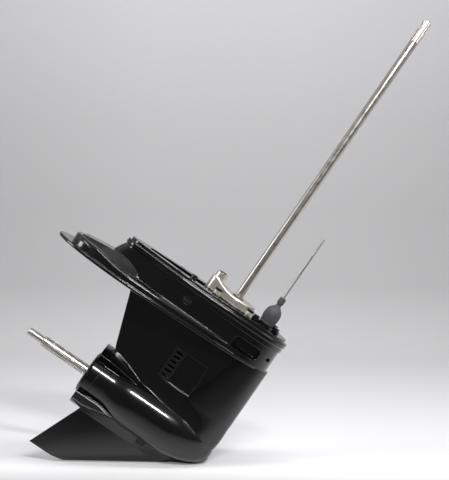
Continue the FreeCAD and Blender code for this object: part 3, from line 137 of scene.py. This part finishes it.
class Nodes:
    """Short way to write a material's node tree."""

    def __init__(self, tree):
        self.tree = tree
        tree.nodes.clear()

    def add(self, kind, inputs=(), **settings):
        node = self.tree.nodes.new(kind)
        for name, value in settings.items():
            setattr(node, name, value)
        for socket, value in dict(inputs).items():
            if isinstance(value, bpy.types.NodeSocket):
                self.tree.links.new(value, node.inputs[socket])
            else:
                node.inputs[socket].default_value = value
        return node

    def ramp(self, factor, stops):
        node = self.add("ShaderNodeValToRGB", {"Fac": factor})
        elements = node.color_ramp.elements
        for element, (position, colour) in zip(elements, (stops[0], stops[-1])):
            element.position = position
            element.color = (*colour, 1.0)
        for position, colour in stops[1:-1]:
            elements.new(position).color = (*colour, 1.0)
        return node.outputs["Color"]

    def place(self, scale=(1.0, 1.0, 1.0)):
        """Object coordinates, stretched by scale."""
        where = self.add("ShaderNodeTexCoord").outputs["Object"]
        return self.add("ShaderNodeMapping", {"Vector": where, "Scale": scale}).outputs["Vector"]

    def noise(self, scale, detail=3.0, roughness=0.5, stretch=(1.0, 1.0, 1.0)):
        inputs = {"Vector": self.place(stretch), "Scale": scale, "Detail": detail, "Roughness": roughness}
        return self.add("ShaderNodeTexNoise", inputs).outputs["Fac"]

    def between(self, factor, low, high, from_low=0.3, from_high=0.7):
        return self.add("ShaderNodeMapRange", {"Value": factor, "From Min": from_low, "From Max": from_high,
                                               "To Min": low, "To Max": high}).outputs["Result"]

    def bump(self, height, distance, strength=1.0, normal=None):
        inputs = {"Height": height, "Distance": distance, "Strength": strength}
        if normal is not None:
            inputs["Normal"] = normal
        return self.add("ShaderNodeBump", inputs).outputs["Normal"]

    def soft_edge(self, radius):
        return self.add("ShaderNodeBevel", {"Radius": radius}, samples=6).outputs["Normal"]

    def surface(self, **values):
        shader = self.add("ShaderNodeBsdfPrincipled", values)
        self.tree.links.new(shader.outputs["BSDF"], self.add("ShaderNodeOutputMaterial").inputs["Surface"])
        return shader


def new_material(name):
    material = bpy.data.materials.new(name)
    material.use_nodes = True
    return material, Nodes(material.node_tree)


def spec(**values):
    """Principled socket names from plain keywords."""
    names = {"colour": "Base Color", "metal": "Metallic", "rough": "Roughness", "normal": "Normal",
             "coat": "Coat Weight", "coat_rough": "Coat Roughness", "coat_normal": "Coat Normal",
             "specular": "Specular IOR Level", "coat_ior": "Coat IOR"}
    return {names[key]: value for key, value in values.items()}


def tinted(nodes, factor, colour, dark, light):
    """A colour that wanders a little between a darker and a lighter shade of itself."""
    darker = [c * dark for c in colour]
    lighter = [min(1.0, c * light) for c in colour]
    return nodes.ramp(factor, [(0.25, darker), (0.75, lighter)])


def enamel_material(name, colour, rough, peel, edge=0.0012):
    """Sprayed gloss enamel: clear coat, faint orange peel, slow waves of the casting, dust in the film."""
    material, nodes = new_material(name)
    waves = nodes.noise(22.0, 2.0)
    skin = nodes.noise(700.0, 2.0)
    dust = nodes.noise(2600.0, 1.0)
    edges = nodes.soft_edge(edge)
    under = nodes.bump(skin, 0.00004, peel, nodes.bump(waves, 0.0006, 0.1, edges))
    coat = nodes.bump(waves, 0.0003, 0.08, edges)
    nodes.surface(**spec(
        colour=tinted(nodes, nodes.noise(60.0, 4.0), colour, 0.8, 1.25),
        rough=nodes.between(dust, rough * 0.85, rough * 1.3),
        normal=under, coat=1.0, coat_rough=rough * 0.3, coat_ior=1.5, coat_normal=coat, specular=0.25))
    return material


def stainless_material(name, colour, axis, rough):
    """Turned stainless steel: fine rings round the bar, soft lengthwise haze."""
    material, nodes = new_material(name)
    along = {"X": (1.0, 0.05, 0.05), "Z": (0.05, 0.05, 1.0)}[axis]
    rings = nodes.noise(900.0, 1.0, 0.5, along)
    haze = nodes.noise(70.0, 3.0)
    normal = nodes.bump(rings, 0.000004, 0.08, nodes.soft_edge(0.0004))
    nodes.surface(**spec(
        colour=tinted(nodes, haze, colour, 0.92, 1.05), metal=1.0,
        rough=nodes.between(nodes.noise(120.0, 2.0), rough * 0.85, rough * 1.2), normal=normal))
    return material


def metal_material(name, colour, rough, grain, depth, stain=0.85):
    """Plain metal with a grain of the given scale and a slow stain."""
    material, nodes = new_material(name)
    fine = nodes.noise(grain, 3.0)
    normal = nodes.bump(fine, depth, 0.5, nodes.soft_edge(0.0004))
    nodes.surface(**spec(
        colour=tinted(nodes, nodes.noise(55.0, 5.0), colour, stain, 1.06), metal=1.0,
        rough=nodes.between(nodes.noise(grain * 0.3, 4.0), rough * 0.8, rough * 1.3), normal=normal))
    return material


def cast_material(name, colour):
    """Die-cast aluminium: satin skin with fine pits."""
    material, nodes = new_material(name)
    pits = nodes.add("ShaderNodeTexVoronoi", {"Vector": nodes.place(), "Scale": 1400.0}).outputs["Distance"]
    skin = nodes.noise(380.0, 5.0, 0.6)
    normal = nodes.bump(skin, 0.00012, 0.25, nodes.soft_edge(0.0009))
    normal = nodes.bump(pits, 0.00002, 0.25, normal)
    nodes.surface(**spec(
        colour=tinted(nodes, nodes.noise(90.0, 5.0), colour, 0.86, 1.1), metal=0.85,
        rough=nodes.between(skin, 0.26, 0.38), normal=normal))
    return material


def rubber_material(name, colour, rough):
    """Moulded rubber: matte bloom, fine flow marks, soft sheen at grazing angles."""
    material, nodes = new_material(name)
    bloom = nodes.noise(140.0, 5.0, 0.6)
    grain = nodes.noise(1800.0, 2.0)
    nodes.surface(**spec(
        colour=tinted(nodes, bloom, colour, 0.75, 1.35),
        rough=nodes.between(bloom, rough * 0.85, min(1.0, rough * 1.15)),
        normal=nodes.bump(grain, 0.00008, 0.5), specular=0.4))
    return material


def fibre_material(name, colour):
    """Compressed gasket fibre with short flecks."""
    material, nodes = new_material(name)
    flecks = nodes.noise(1500.0, 5.0, 0.7)
    nodes.surface(**spec(
        colour=tinted(nodes, flecks, colour, 0.7, 1.3), rough=0.85,
        normal=nodes.bump(flecks, 0.0001, 0.6)))
    return material


def moulded_material(name, colour):
    """Fine-grained moulded plastic."""
    material, nodes = new_material(name)
    grain = nodes.noise(1500.0, 3.0)
    nodes.surface(**spec(
        colour=tinted(nodes, nodes.noise(120.0, 3.0), colour, 0.8, 1.25),
        rough=nodes.between(grain, 0.28, 0.42),
        normal=nodes.bump(grain, 0.00006, 0.4, nodes.soft_edge(0.0004))))
    return material


def finish_for(slot_name, node_name):
    """The material of a record slot, made once; upright shafts have their rings round Z, others round X."""
    settings = bpy.context.scene.unit_finish
    upright = node_name in ("drive_shaft", "shift_rod", "shift_rod_thread")
    key = "finish_" + slot_name + ("_upright" if upright else "")
    if key in bpy.data.materials:
        return bpy.data.materials[key]
    if slot_name == "housing_paint":
        return enamel_material(key, settings.enamel, 0.2, 0.15, 0.0016)
    if slot_name == "retainer_paint":
        return enamel_material(key, settings.enamel, 0.16, 0.15, 0.0005)
    if slot_name == "black_fastener":
        return enamel_material(key, [c * 3.5 for c in settings.enamel], 0.3, 0.3, 0.0004)
    if slot_name == "shaft_steel":
        return stainless_material(key, settings.stainless, "Z" if key.endswith("upright") else "X", 0.3)
    if slot_name == "pump_casting":
        return cast_material(key, settings.casting)
    if slot_name == "plate_steel":
        return metal_material(key, (0.62, 0.6, 0.56), 0.28, 900.0, 0.00004)
    if slot_name == "gear_steel":
        return metal_material(key, (0.36, 0.35, 0.33), 0.34, 1100.0, 0.00006, 0.7)
    if slot_name == "bearing_steel":
        return metal_material(key, (0.66, 0.66, 0.67), 0.14, 1600.0, 0.00002, 0.92)
    if slot_name == "bushing_brass":
        return metal_material(key, (0.72, 0.52, 0.24), 0.3, 1000.0, 0.00004, 0.8)
    if slot_name == "boot_rubber":
        return rubber_material(key, settings.rubber, 0.62)
    if slot_name == "seal_rubber":
        return rubber_material(key, (0.02, 0.02, 0.021), 0.55)
    if slot_name == "gasket_fibre":
        return fibre_material(key, (0.2, 0.17, 0.13))
    if slot_name == "screen_plastic":
        return moulded_material(key, (0.006, 0.006, 0.0065))
    raise ValueError("no finish for slot " + slot_name)


def new_piece(name, mesh_maker, body, slot_name, smooth=True):
    """A mesh object in the row frame, riding on a body, finished as its slot says."""
    form = bmesh.new()
    mesh_maker(form)
    mesh = bpy.data.meshes.new(name)
    form.to_mesh(mesh)
    form.free()
    piece = bpy.data.objects.new(name, mesh)
    bpy.context.scene.collection.objects.link(piece)
    if smooth:
        mesh.polygons.foreach_set("use_smooth", [True] * len(mesh.polygons))
    mesh.materials.append(finish_for(slot_name, name))
    if body:
        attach(piece, body)
    return piece


def spun(form, profile, axis, centre, steps=64):
    """Turns a closed (radius, height) profile once round an axis."""
    across = Vector((1, 0, 0)) if abs(axis.x) < 0.5 else Vector((0, 0, 1))
    ring = [form.verts.new(centre + across * r + axis * h) for r, h in profile]
    edges = [form.edges.new(pair) for pair in zip(ring, ring[1:] + ring[:1])]
    bmesh.ops.spin(form, geom=ring + edges, cent=centre, axis=axis, angle=math.tau, steps=steps,
                   use_merge=True)
    bmesh.ops.remove_doubles(form, verts=form.verts, dist=1e-7)
    bmesh.ops.recalc_face_normals(form, faces=form.faces)


def threaded(form, radius, pitch, start, end, axis, centre, steps=24):
    """Helical ridge of a screw thread between two places along an axis."""
    across = Vector((1, 0, 0)) if abs(axis.x) < 0.5 else Vector((0, 0, 1))
    crest, root, flank = radius + pitch * 0.12, radius - pitch * 0.1, pitch * 0.36
    corners = [(root, -flank), (crest, -pitch * 0.06), (crest, pitch * 0.06), (root, flank)]
    first = start + flank
    ring = [form.verts.new(centre + across * r + axis * (first + h)) for r, h in corners]
    edges = [form.edges.new(pair) for pair in zip(ring, ring[1:] + ring[:1])]
    form.faces.new(ring)
    turns = (end - start - 2 * flank) / pitch
    count = int(turns * steps)
    swept = bmesh.ops.spin(form, geom=ring + edges, cent=centre, axis=axis, dvec=axis * (pitch / steps),
                           angle=math.tau * count / steps, steps=count, use_merge=False)
    last = [v for v in swept["geom_last"] if isinstance(v, bmesh.types.BMVert)]
    bmesh.ops.contextual_create(form, geom=last)
    bmesh.ops.recalc_face_normals(form, faces=form.faces)


def boot_form(form):
    """Bulb of the boot, pinched under its collar, with a rolled foot; thin walled like the moulding."""
    outer = [(0.0113, 0.0), (0.0120, 0.0012), (0.0117, 0.0030), (0.0123, 0.0062), (0.0130, 0.0110),
             (0.0132, 0.0155), (0.0127, 0.0200), (0.0113, 0.0240), (0.0090, 0.0272), (0.0062, 0.0296),
             (0.0044, 0.0318), (0.0037, 0.0340), (0.0040, 0.0352), (0.0050, 0.0362), (0.00525, 0.0375),
             (0.00525, 0.0446), (0.0049, 0.0461), (0.0038, 0.0466)]
    inner = [(0.00265, 0.0462), (0.00265, 0.0330), (0.0044, 0.0290), (0.0078, 0.0258), (0.0102, 0.0222),
             (0.0114, 0.0180), (0.0117, 0.0130), (0.0108, 0.0060), (0.0104, 0.0)]
    spun(form, outer + inner, Vector((0, 0, 1)), Vector((ROD_X, 0, BOOT_FOOT_Z)))


class UNIT_OT_stage(bpy.types.Operator):
    """Pale sweep behind and under the unit, soft lamps, and the camera of the photograph"""
    bl_idname = "unit.stage"
    bl_label = "Studio Stage"

    def execute(self, context):
        settings = context.scene.unit_stage
        self.sweep(settings)
        self.camera(context, settings)
        self.lamps(context)
        self.world(context)
        return {"FINISHED"}

    def sweep(self, settings):
        """Floor that curves up into a wall, drawn as one strip and extruded sideways."""
        angles = [math.pi / 2 * i / SWEEP_BEND_STEPS for i in range(1, SWEEP_BEND_STEPS + 1)]
        outline = [(SWEEP_NEAR_Y, 0.0), (SWEEP_BEND_Y, 0.0)]
        outline += [(SWEEP_BEND_Y + SWEEP_BEND_R * math.sin(a), SWEEP_BEND_R * (1 - math.cos(a)))
                    for a in angles]
        outline.append((SWEEP_BEND_Y + SWEEP_BEND_R, SWEEP_TOP))
        form = bmesh.new()
        side = -SWEEP_HALF_WIDTH * FLOOR_ALONG + FLOOR_DEPTH * FLOOR_NORMAL
        ring = [form.verts.new(side + Vector((0, y, 0)) + h * FLOOR_NORMAL) for y, h in outline]
        edges = [form.edges.new(pair) for pair in zip(ring, ring[1:])]
        swept = bmesh.ops.extrude_edge_only(form, edges=edges)["geom"]
        far_side = [v for v in swept if isinstance(v, bmesh.types.BMVert)]
        bmesh.ops.translate(form, vec=2 * SWEEP_HALF_WIDTH * FLOOR_ALONG, verts=far_side)
        bmesh.ops.recalc_face_normals(form, faces=form.faces)
        form.faces.ensure_lookup_table()
        if form.faces[0].normal.dot(FLOOR_NORMAL) < 0:
            bmesh.ops.reverse_faces(form, faces=form.faces)
        mesh = bpy.data.meshes.new("studio_sweep")
        form.to_mesh(mesh)
        form.free()
        floor = bpy.data.objects.new("studio_sweep", mesh)
        bpy.context.scene.collection.objects.link(floor)
        mesh.polygons.foreach_set("use_smooth", [True] * len(mesh.polygons))
        mesh.materials.append(self.sweep_material(settings))

    def sweep_material(self, settings):
        """Paper sweep with painted shade and light in its colour: the floor darkens to near black towards the
        camera, the wall is darker across its middle than at its bend and top, and the sweep darkens towards
        its sides; seen from behind it vanishes.
        """
        material, nodes = new_material("sweep_paper")
        where = nodes.add("ShaderNodeTexCoord").outputs["Object"]

        def along(direction, low, high):
            dot = nodes.add("ShaderNodeVectorMath", {0: where, 1: direction[:]}, operation="DOT_PRODUCT")
            return nodes.add("ShaderNodeMapRange", {"Value": dot.outputs["Value"], "From Min": low,
                                                    "From Max": high}).outputs["Result"]

        height = along(FLOOR_NORMAL, FLOOR_DEPTH, FLOOR_DEPTH + 1.0)
        # Painted shade: the whole sweep's colour darkens towards its sides across the picture, most at the
        # +along end
        side = nodes.ramp(along(FLOOR_ALONG, -0.75, 0.75), [(0.0, (0.95,) * 3), (0.3, (1.0,) * 3),
                                                            (0.6, (0.97,) * 3), (1.0, (0.86,) * 3)])
        # Painted shade: the floor's colour falls to near black towards the camera, so the gloss enamel
        # reflects dark there; behind the unit it is the floor colour, shading to the bend colour
        depth = nodes.ramp(along(Vector((0, 1, 0)), -0.6, 1.0), [(0.0, (0.02,) * 3), (0.2, (0.16,) * 3),
                                                                 (0.28, (0.45,) * 3),
                                                                 (0.35, settings.floor_colour[:]),
                                                                 (1.0, settings.bend_colour[:])])
        # Painted shade and light: the wall's colour falls from the bend to a darker middle band, then rises
        # to a lighter top
        wall, top = settings.wall_shade_colour, settings.wall_top_colour
        wall = nodes.ramp(height, [(0.0, settings.bend_colour[:]), (0.07, [c * 1.14 for c in wall]),
                                   (0.14, wall[:]), (0.34, wall[:]), (0.6, [c * 1.12 for c in wall]),
                                   (0.95, top[:])])
        raised = nodes.add("ShaderNodeMath", {0: height, 1: 0.0005}, operation="GREATER_THAN")
        colour = nodes.add("ShaderNodeMix", {0: raised.outputs["Value"], 6: depth, 7: wall},
                           data_type="RGBA").outputs[2]
        colour = nodes.add("ShaderNodeMix", {0: 1.0, 6: colour, 7: side}, data_type="RGBA",
                           blend_type="MULTIPLY").outputs[2]
        paper = nodes.add("ShaderNodeBsdfDiffuse", {"Color": colour}).outputs["BSDF"]
        glow = nodes.add("ShaderNodeEmission", {"Color": colour, "Strength": settings.glow})
        seen = nodes.add("ShaderNodeAddShader", {0: paper, 1: glow.outputs["Emission"]}).outputs["Shader"]
        eye = nodes.add("ShaderNodeLightPath").outputs["Is Camera Ray"]
        paper = nodes.add("ShaderNodeMixShader", {0: eye, 1: paper, 2: seen}).outputs["Shader"]
        clear = nodes.add("ShaderNodeBsdfTransparent").outputs["BSDF"]
        behind = nodes.add("ShaderNodeNewGeometry").outputs["Backfacing"]
        shader = nodes.add("ShaderNodeMixShader", {0: behind, 1: paper, 2: clear}).outputs["Shader"]
        nodes.tree.links.new(shader, nodes.add("ShaderNodeOutputMaterial").inputs["Surface"])
        return material

    def camera(self, context, settings):
        place = Vector((CAMERA_AIM.x, -settings.distance, CAMERA_Z))
        forward = (CAMERA_AIM - place).normalized()
        up = (FLOOR_NORMAL - forward * FLOOR_NORMAL.dot(forward)).normalized()
        right = forward.cross(up)
        turn = Matrix((right, up, -forward)).transposed().to_4x4()
        data = bpy.data.cameras.new("photo_camera")
        data.lens = settings.lens
        data.clip_end = 20.0
        camera = bpy.data.objects.new("photo_camera", data)
        camera.matrix_world = Matrix.Translation(place) @ turn
        context.scene.collection.objects.link(camera)
        context.scene.camera = camera

    def lamps(self, context):
        """Soft boxes in the room's axes: along, away, up. The strips lie along the keel line."""
        keel = Vector((1, 0, 0))
        boxes = [("key_strip", (0.36, -1.13, 0.82), keel, 0.5, 0.13, 15.0, (1.0, 0.99, 0.98)),
                 ("overhead_strip", (0.25, -0.25, 1.4), keel, 1.1, 0.16, 10.0, (1.0, 0.995, 0.99)),
                 ("stern_box", (-1.25, -0.35, 0.75), FLOOR_NORMAL, 0.45, 0.25, 3.0, (1.0, 0.99, 0.98)),
                 ("bow_side_box", (1.4, -0.5, 0.6), FLOOR_NORMAL, 0.8, 0.4, 6.0, (1.0, 1.0, 1.0))]
        for name, (along, away, high), long_way, length, depth, power, colour in boxes:
            data = bpy.data.lights.new(name, "AREA")
            data.shape = "RECTANGLE"
            data.size, data.size_y = length, depth
            data.energy = power
            data.color = colour
            lamp = bpy.data.objects.new(name, data)
            place = FLOOR_ALONG * along + Vector((0, away, 0)) + FLOOR_NORMAL * high
            back = place.normalized()
            across = (long_way - back * long_way.dot(back)).normalized()
            turn = Matrix((across, back.cross(across), back)).transposed().to_4x4()
            lamp.matrix_world = Matrix.Translation(place) @ turn
            context.scene.collection.objects.link(lamp)

    def world(self, context):
        """Room light: pale behind the unit, dark on the side of the camera."""
        world = bpy.data.worlds.new("room_light")
        world.use_nodes = True
        context.scene.world = world
        nodes = Nodes(world.node_tree)
        direction = nodes.add("ShaderNodeTexCoord").outputs["Generated"]
        away = nodes.add("ShaderNodeSeparateXYZ", {"Vector": direction}).outputs["Y"]
        away = nodes.add("ShaderNodeMapRange", {"Value": away, "From Min": -1.0, "From Max": 0.35})
        colour = nodes.ramp(away.outputs["Result"], [(0.0, (0.09, 0.09, 0.093)), (0.4, (0.15, 0.15, 0.154)),
                                                     (1.0, (0.50, 0.50, 0.515))])
        light = nodes.add("ShaderNodeBackground", {"Color": colour, "Strength": 1.0}).outputs["Background"]
        nodes.tree.links.new(light, nodes.add("ShaderNodeOutputWorld").inputs["Surface"])


class UNIT_OT_dress(bpy.types.Operator):
    """Finish every carried-over solid with the material of its slot"""
    bl_idname = "unit.dress"
    bl_label = "Finishes"

    def execute(self, context):
        for entry in frame["record"]["subparts"]:
            solid = frame["nodes"][entry["node"]]
            finish = finish_for(entry["material_slot"], entry["node"])
            if solid.data.materials:
                solid.data.materials[0] = finish
            else:
                solid.data.materials.append(finish)
        return {"FINISHED"}


class UNIT_OT_boot(bpy.types.Operator):
    """Smooth rubber boot on the shift rod, in place of the hidden shift_boot solid"""
    bl_idname = "unit.boot"
    bl_label = "Shift Boot"

    def execute(self, context):
        boot = new_piece("boot_skin", boot_form, None, "boot_rubber")
        softer = boot.modifiers.new("round", "SUBSURF")
        softer.levels = softer.render_levels = 2
        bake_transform(boot)
        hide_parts("shift_boot")
        return {"FINISHED"}


class UNIT_OT_threads(bpy.types.Operator):
    """Screw threads of the propeller shaft and the shift rod"""
    bl_idname = "unit.threads"
    bl_label = "Screw Threads"

    def execute(self, context):
        def nut_thread(form):
            threaded(form, NUT_THREAD_R, NUT_PITCH, *NUT_THREAD, Vector((1, 0, 0)),
                     Vector((0, 0, PROP_Z)), 32)

        def rod_thread(form):
            threaded(form, ROD_THREAD_R, ROD_PITCH, *ROD_THREAD, Vector((0, 0, 1)), Vector((ROD_X, 0, 0)), 16)

        new_piece("propeller_nut_thread", nut_thread, "propeller_shaft", "shaft_steel", smooth=False)
        new_piece("shift_rod_thread", rod_thread, "shift_rod", "shaft_steel", smooth=False)
        return {"FINISHED"}


class UNIT_OT_edges(bpy.types.Operator):
    """Small bevels on the edges of bolts, plugs, pins and plates"""
    bl_idname = "unit.edges"
    bl_label = "Edge Bevels"

    def execute(self, context):
        for name, width in BEVELS.items():
            bevel = frame["nodes"][name].modifiers.new("edge", "BEVEL")
            bevel.width = width
            bevel.segments = 2
            bevel.limit_method = "ANGLE"
            bevel.angle_limit = math.radians(35)
            bevel.harden_normals = False
        return {"FINISHED"}


OPERATORS = [UNIT_OT_stage, UNIT_OT_dress, UNIT_OT_boot, UNIT_OT_threads, UNIT_OT_edges]


class UNIT_PT_panel(bpy.types.Panel):
    """Pieces of the lower unit"""
    bl_idname = "UNIT_PT_panel"
    bl_label = "Lower Unit"
    bl_space_type = "VIEW_3D"
    bl_region_type = "UI"
    bl_category = "Lower Unit"

    def draw(self, context):
        for operator in OPERATORS:
            self.layout.operator(operator.bl_idname)


CLASSES = [StageSettings, FinishSettings, *OPERATORS, UNIT_PT_panel]


def register():
    for cls in CLASSES:
        bpy.utils.register_class(cls)
    bpy.types.Scene.unit_stage = bpy.props.PointerProperty(type=StageSettings)
    bpy.types.Scene.unit_finish = bpy.props.PointerProperty(type=FinishSettings)


def unregister():
    del bpy.types.Scene.unit_finish
    del bpy.types.Scene.unit_stage
    for cls in reversed(CLASSES):
        bpy.utils.unregister_class(cls)


def main():
    register()
    bpy.context.scene.view_settings.view_transform = "Standard"
    for operator in (bpy.ops.unit.stage, bpy.ops.unit.dress, bpy.ops.unit.boot, bpy.ops.unit.threads,
                     bpy.ops.unit.edges):
        operator()


if __name__ == "__main__":
    main()
